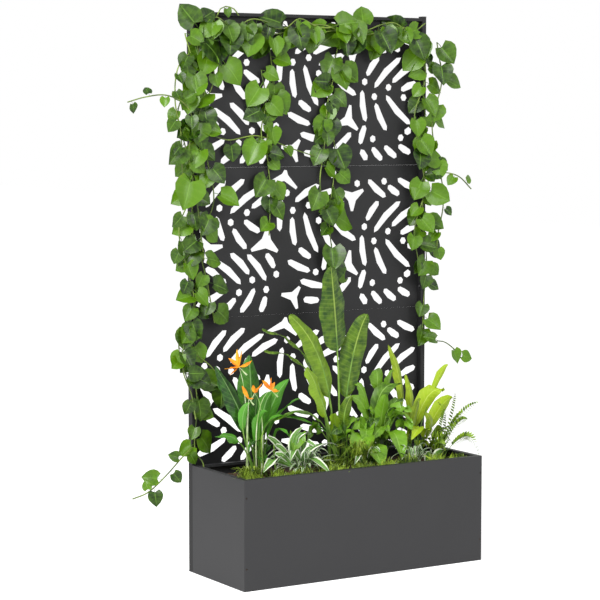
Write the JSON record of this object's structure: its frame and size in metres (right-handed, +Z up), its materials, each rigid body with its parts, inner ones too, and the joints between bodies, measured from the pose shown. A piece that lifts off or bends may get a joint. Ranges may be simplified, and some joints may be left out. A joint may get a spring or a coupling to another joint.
{
  "type": "planter with trellis",
  "caption": "Charcoal steel planter box with a tall laser-cut leaf screen between two posts behind it, planted with climbers and tall leafy plants.",
  "frame": {"origin": "middle of the footprint of the box and posts, on the floor", "axes": "+Z up, -Y towards the front of the box, +X to the right seen from the front"},
  "size_m": [1.2967, 0.355, 1.8211],
  "materials": {
    "box_steel": "fine matt powder coat, charcoal grey",
    "screen_steel": "fine matt powder coat, near black",
    "zinc_steel": "plain galvanised sheet, hidden under the soil",
    "steel_screw": "zinc plated",
    "black_plastic": "moulded, fine grain",
    "soil": "loose bark compost",
    "climber_leaf": "smooth heart-shaped leaves on thin stems",
    "tall_leaf": "smooth ribbed leaves",
    "blue_leaf": "waxy blue-green leaves, orange flowers",
    "broad_leaf": "glossy broad leaves",
    "lime_leaf": "smooth yellow-green leaves",
    "striped_leaf": "pale-edged strap leaves",
    "fern_leaf": "fine fronds",
    "moss": "moss and short grass"
  },
  "bodies": {
    "root": {"box_shell": "box_steel", "back_wall": "box_steel", "floor_tray": "zinc_steel", "floor_beam_left": "zinc_steel", "floor_beam_right": "zinc_steel", "post_left": "box_steel", "post_right": "box_steel", "post_cap_left": "black_plastic", "post_cap_right": "black_plastic", "post_foot_left": "black_plastic", "post_foot_right": "black_plastic", "top_rail": "box_steel", "rail_connector_left": "black_plastic", "rail_connector_right": "black_plastic", "screen_lower": "screen_steel", "screen_middle": "screen_steel", "screen_upper": "screen_steel", "screen_screws": "steel_screw", "box_bolts": "steel_screw", "post_inserts": "steel_screw", "soil_fill": "soil", "vine_left": "climber_leaf", "vine_crown": "climber_leaf", "vine_right": "climber_leaf", "vine_screen_left": "climber_leaf", "vine_screen_right": "climber_leaf", "banana_plant": "tall_leaf", "flowering_plant": "blue_leaf", "broadleaf_plant": "broad_leaf", "lime_plant": "lime_leaf", "striped_plant": "striped_leaf", "fern": "fern_leaf", "ground_cover": "moss"}
  },
  "joints": []
}
